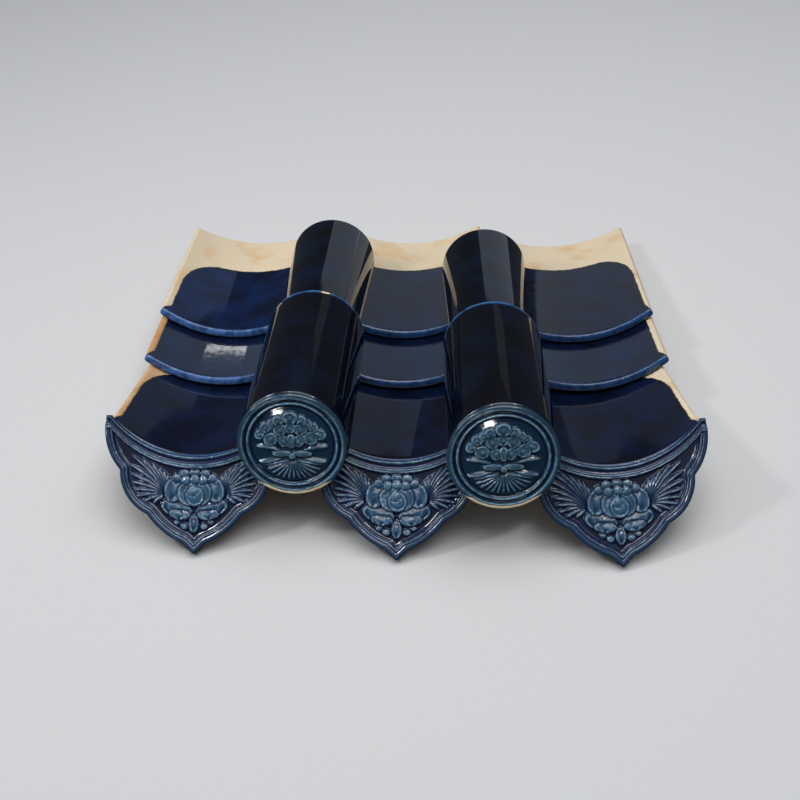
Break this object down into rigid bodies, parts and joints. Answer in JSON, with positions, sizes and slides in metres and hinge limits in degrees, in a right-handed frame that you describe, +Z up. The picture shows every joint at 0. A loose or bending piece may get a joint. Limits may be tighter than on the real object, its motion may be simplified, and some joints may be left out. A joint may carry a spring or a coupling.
{
  "type": "glazed roof tile eaves set",
  "caption": "Laid eaves section of glazed clay roof tiles: concave pans ending in hanging pointed relief faces, with half-round covers over the joints ending in round relief discs.",
  "frame": {"origin": "on the floor under the middle of the set's box; the set rests on the points of its hanging faces and on the lower edges of its pans' heads", "axes": "+Z up, +X across the section to the right seen from the front, +Y from the hanging faces towards the heads of the pans, so the front faces -Y"},
  "size_m": [0.7266, 0.6944, 0.1964],
  "materials": {
    "drip_tile_glaze": "dark navy gloss glaze, thin and teal grey on the raised relief",
    "pan_tile_glaze": "dark navy gloss glaze, bare cream clay at the head and the edges",
    "eaves_cover_glaze": "dark navy gloss glaze, thin along the edges",
    "upper_cover_glaze": "dark navy gloss glaze, bare cream clay along the lower edges"
  },
  "bodies": {
    "root": {"drip_tile_left": "drip_tile_glaze", "drip_tile_middle": "drip_tile_glaze", "drip_tile_right": "drip_tile_glaze", "middle_pan_tile_left": "pan_tile_glaze", "middle_pan_tile_middle": "pan_tile_glaze", "middle_pan_tile_right": "pan_tile_glaze", "top_pan_tile_left": "pan_tile_glaze", "top_pan_tile_middle": "pan_tile_glaze", "top_pan_tile_right": "pan_tile_glaze", "eaves_cover_tile_left": "eaves_cover_glaze", "eaves_cover_tile_right": "eaves_cover_glaze", "upper_cover_tile_left": "upper_cover_glaze", "upper_cover_tile_right": "upper_cover_glaze"}
  },
  "joints": []
}
